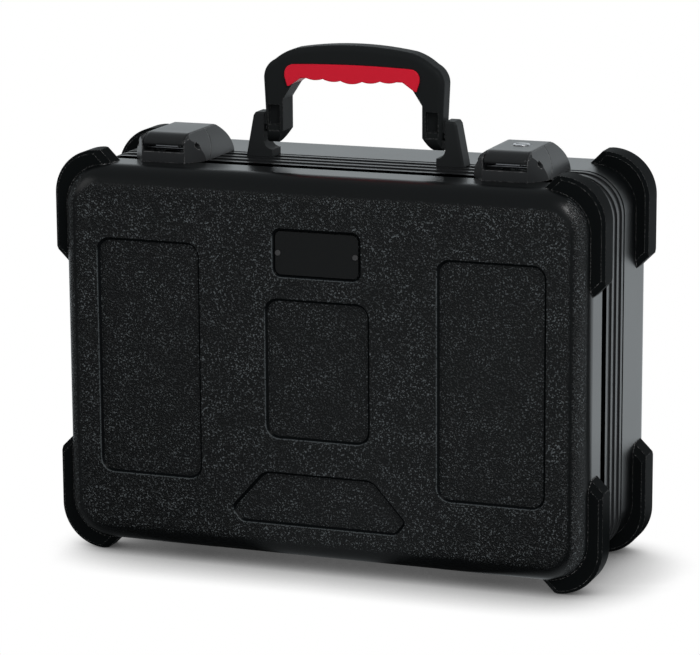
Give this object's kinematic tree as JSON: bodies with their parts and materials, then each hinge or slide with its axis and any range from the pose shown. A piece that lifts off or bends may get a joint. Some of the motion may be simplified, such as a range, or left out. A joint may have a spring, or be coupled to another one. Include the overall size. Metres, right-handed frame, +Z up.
{
  "type": "guitar pedal case",
  "caption": "Hard-shell carrying case with corner bumpers, a bottom-hinged lid, draw latches, a folding handle with a soft grip and a foam-lined bay.",
  "frame": {"origin": "on the floor, centre of the bounding box's bottom face, with the case standing on its lower bumpers", "axes": "+X along the width, to the right of someone facing the lid; +Y from the lid to the back; +Z up towards the handle"},
  "size_m": [0.48, 0.1866, 0.4312],
  "materials": {
    "shell_plastic": "moulded pebble grain",
    "bumper_plastic": "semi-gloss",
    "black_aluminium": "black anodised",
    "seal_rubber": "matte",
    "foam": "open-cell foam",
    "hinge_steel": "black coated",
    "handle_plastic": "satin",
    "grip_rubber": "satin",
    "latch_metal": "satin",
    "plate_plastic": "gloss, bare",
    "screw_steel": "zinc plated",
    "bright_steel": "bright"
  },
  "bodies": {
    "base": {"base_bumper_bottom_left": "bumper_plastic", "base_bumper_bottom_right": "bumper_plastic", "base_bumper_screws": "screw_steel", "base_bumper_top_left": "bumper_plastic", "base_bumper_top_right": "bumper_plastic", "base_foam": "foam", "base_shell": "shell_plastic", "base_valance": "black_aluminium", "handle_pin_left": "bright_steel", "handle_pin_right": "bright_steel", "handle_post_left": "handle_plastic", "handle_post_right": "handle_plastic", "handle_post_screws": "screw_steel", "hinge_base_leaf_left": "hinge_steel", "hinge_base_leaf_right": "hinge_steel", "hinge_base_rivets": "bright_steel", "hinge_pin_left": "bright_steel", "hinge_pin_right": "bright_steel", "latch_housing_left": "latch_metal", "latch_housing_right": "latch_metal", "latch_housing_rivets": "bright_steel", "lever_pin_left": "bright_steel", "lever_pin_right": "bright_steel", "valance_seal": "seal_rubber"},
    "lid": {"hinge_lid_leaf_left": "hinge_steel", "hinge_lid_leaf_right": "hinge_steel", "hinge_lid_rivets": "bright_steel", "keeper_bar_left": "bright_steel", "keeper_bar_right": "bright_steel", "latch_keeper_left": "latch_metal", "latch_keeper_right": "latch_metal", "latch_keeper_rivets": "bright_steel", "lid_bumper_bottom_left": "bumper_plastic", "lid_bumper_bottom_right": "bumper_plastic", "lid_bumper_screws": "screw_steel", "lid_bumper_top_left": "bumper_plastic", "lid_bumper_top_right": "bumper_plastic", "lid_foam": "foam", "lid_shell": "shell_plastic", "lid_valance": "black_aluminium", "name_plate": "plate_plastic", "name_plate_rivets": "bright_steel"},
    "handle": {"handle_frame": "handle_plastic", "handle_grip": "grip_rubber"},
    "lever_left": {"latch_lever_left": "latch_metal", "hook_pin_left": "bright_steel"},
    "hook_left": {"latch_hook_left": "bright_steel"},
    "lever_right": {"latch_lever_right": "latch_metal", "hook_pin_right": "bright_steel"},
    "hook_right": {"latch_hook_right": "bright_steel"},
    "lock": {"lock_cylinder": "bright_steel"}
  },
  "joints": [
    {"name": "lid_open", "type": "hinge", "parent": "base", "child": "lid", "pos_m": [0, -0.0422, 0.006], "axis": [1, 0, 0], "range_deg": [0, 100]},
    {"name": "handle_swing", "type": "hinge", "parent": "base", "child": "handle", "pos_m": [0, 0.0041, 0.3575], "axis": [1, 0, 0], "range_deg": [-90, 90]},
    {"name": "latch_lift_left", "type": "hinge", "parent": "base", "child": "lever_left", "pos_m": [-0.1495, 0.0075, 0.3425], "axis": [-1, 0, 0], "range_deg": [0, 75]},
    {"name": "hook_swing_left", "type": "hinge", "parent": "lever_left", "child": "hook_left", "pos_m": [-0.1495, -0.026, 0.348], "axis": [-1, 0, 0], "range_deg": [0, 10]},
    {"name": "latch_lift_right", "type": "hinge", "parent": "base", "child": "lever_right", "pos_m": [0.1495, 0.0075, 0.3425], "axis": [-1, 0, 0], "range_deg": [0, 75]},
    {"name": "hook_swing_right", "type": "hinge", "parent": "lever_right", "child": "hook_right", "pos_m": [0.1495, -0.026, 0.348], "axis": [-1, 0, 0], "range_deg": [0, 10]},
    {"name": "lock_turn", "type": "hinge", "parent": "lever_right", "child": "lock", "pos_m": [0.1495, -0.013, 0.352], "axis": [0, 0, 1], "range_deg": [0, 90]}
  ]
}
